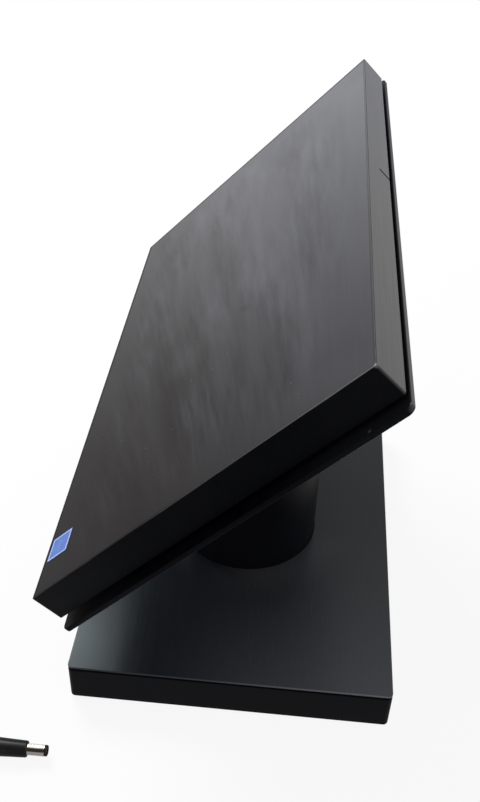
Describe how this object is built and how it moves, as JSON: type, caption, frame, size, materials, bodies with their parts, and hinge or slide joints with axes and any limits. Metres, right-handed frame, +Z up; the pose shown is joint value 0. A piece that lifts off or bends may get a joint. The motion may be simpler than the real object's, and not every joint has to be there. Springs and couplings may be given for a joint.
{
  "type": "touchscreen kiosk",
  "caption": "Counter-top touchscreen kiosk: a flat touch display with a spaced back plate tilts on a friction hinge above a round column and a weighted slab base; a power lead lies beside it.",
  "frame": {"origin": "centre of the base's footprint, on the surface that the rubber feet stand on", "axes": "+Z up, +X to the user's right, -Y towards the user, so the screen faces -Y and up"},
  "size_m": [0.3614, 0.3378, 0.2888],
  "materials": {
    "base_coat": "fine satin powder coat",
    "base_plastic": "matte moulded plastic",
    "raw_steel": "plain sheet and plate steel",
    "rubber": "matte rubber",
    "screw_steel": "zinc plated",
    "screw_black": "blackened steel",
    "column_coat": "fine satin powder coat",
    "hinge_plastic": "matte moulded plastic",
    "hinge_cast": "die cast",
    "hinge_coat": "black coated steel",
    "washer_bronze": "sintered bronze",
    "plate_coat": "black satin coat",
    "housing_coat": "dark grey satin coat",
    "touch_glass": "anti-glare glass, screen off",
    "panel": "liquid crystal panel",
    "diffuser": "light guide and diffuser",
    "board": "circuit board",
    "sink_metal": "plain extrusion",
    "inner_plastic": "moulded plastic",
    "button_plastic": "moulded plastic",
    "label": "plain printed label",
    "plug_steel": "nickel plated",
    "lead_plastic": "moulded vinyl",
    "tie_fabric": "hook and loop strap"
  },
  "bodies": {
    "stand": {"base_top": "base_coat", "base_body": "base_plastic", "ballast_plate": "raw_steel", "base_bottom": "base_plastic", "rubber_feet": "rubber", "base_screws": "screw_steel", "column_flange": "raw_steel", "flange_screws": "screw_steel", "column_tube": "column_coat", "column_cap": "hinge_plastic", "hinge_yoke": "hinge_cast", "yoke_screws": "screw_steel", "hinge_pin": "screw_steel", "hinge_nut": "screw_steel", "friction_washers": "washer_bronze", "spring_washers": "screw_steel", "plug_barrel": "plug_steel", "plug_tip_ring": "lead_plastic", "plug_body": "lead_plastic", "strain_relief": "lead_plastic", "lead_run": "lead_plastic", "lead_coil": "lead_plastic", "lead_tail": "lead_plastic", "lead_tie": "tie_fabric", "lead_socket": "lead_plastic"},
    "head": {"hinge_bracket": "hinge_coat", "bracket_screws": "screw_steel", "bracket_nuts": "screw_steel", "rear_plate": "plate_coat", "mounting_spacer": "inner_plastic", "standoffs": "inner_plastic", "rear_screws": "screw_black", "head_housing": "housing_coat", "glass_gasket": "rubber", "touch_glass": "touch_glass", "lcd_panel": "panel", "backlight_unit": "diffuser", "panel_frame": "raw_steel", "panel_screws": "screw_steel", "main_board": "board", "board_screws": "screw_steel", "heat_sink": "sink_metal", "storage_drive": "board", "memory_module": "board", "speakers": "inner_plastic", "io_board": "board", "dc_jack": "inner_plastic", "usb_sockets": "screw_steel", "button_switch": "inner_plastic", "badge_label": "label"},
    "power_button": {"power_button": "button_plastic"}
  },
  "joints": [
    {"name": "head_tilt", "type": "hinge", "parent": "stand", "child": "head", "pos_m": [0, 0, 0.1672], "axis": [1, 0, 0], "range_deg": [-30, 24]},
    {"name": "button_press", "type": "slide", "parent": "head", "child": "power_button", "axis": [1, 0, 0], "range_m": [0, 0.0008], "stiffness_N_per_m": 1500}
  ]
}
